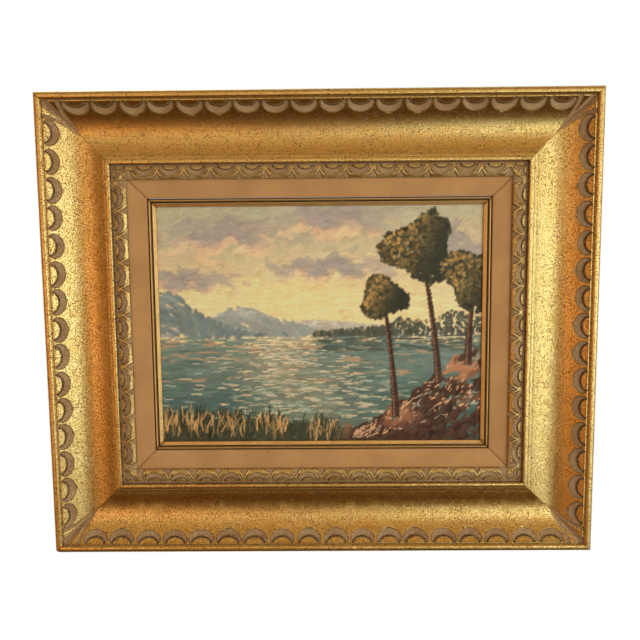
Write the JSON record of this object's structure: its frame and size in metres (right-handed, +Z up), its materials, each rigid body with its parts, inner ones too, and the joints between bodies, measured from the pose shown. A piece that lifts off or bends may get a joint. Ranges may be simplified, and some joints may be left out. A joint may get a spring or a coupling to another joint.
{
  "type": "framed oil painting",
  "caption": "Landscape oil painting on stretched canvas in a wide carved and gilded cove frame with a cloth liner and gilt slip, hung by a sawtooth hanger.",
  "frame": {"origin": "the point the picture hangs by: on the frame's back plane, in the middle of the hanger's teeth, 40 mm below the frame's top edge", "axes": "+X to the viewer's right along the picture, +Y out of the back towards the wall, +Z up; the painted face looks along -Y"},
  "size_m": [0.664, 0.0546, 0.56],
  "materials": {
    "gilding": "carved wood, gessoed and gilded, aged semi-gloss gold with flyspecks and dark wax in the cuts",
    "liner": "wood covered in tan cloth, matte",
    "slip": "gilded wood, satin",
    "stretcher": "bare softwood",
    "canvas": "oil paint on primed canvas, satin with raised strokes",
    "hanger": "thin brass-coloured plating, satin"
  },
  "bodies": {
    "root": {"frame_rail_top": "gilding", "frame_rail_bottom": "gilding", "frame_rail_left": "gilding", "frame_rail_right": "gilding", "liner_top": "liner", "liner_bottom": "liner", "liner_left": "liner", "liner_right": "liner", "slip_top": "slip", "slip_bottom": "slip", "slip_left": "slip", "slip_right": "slip", "stretcher_bar_top": "stretcher", "stretcher_bar_bottom": "stretcher", "stretcher_bar_left": "stretcher", "stretcher_bar_right": "stretcher", "canvas": "canvas", "sawtooth_hanger": "hanger", "hanger_nail_left": "hanger", "hanger_nail_right": "hanger"}
  },
  "joints": []
}
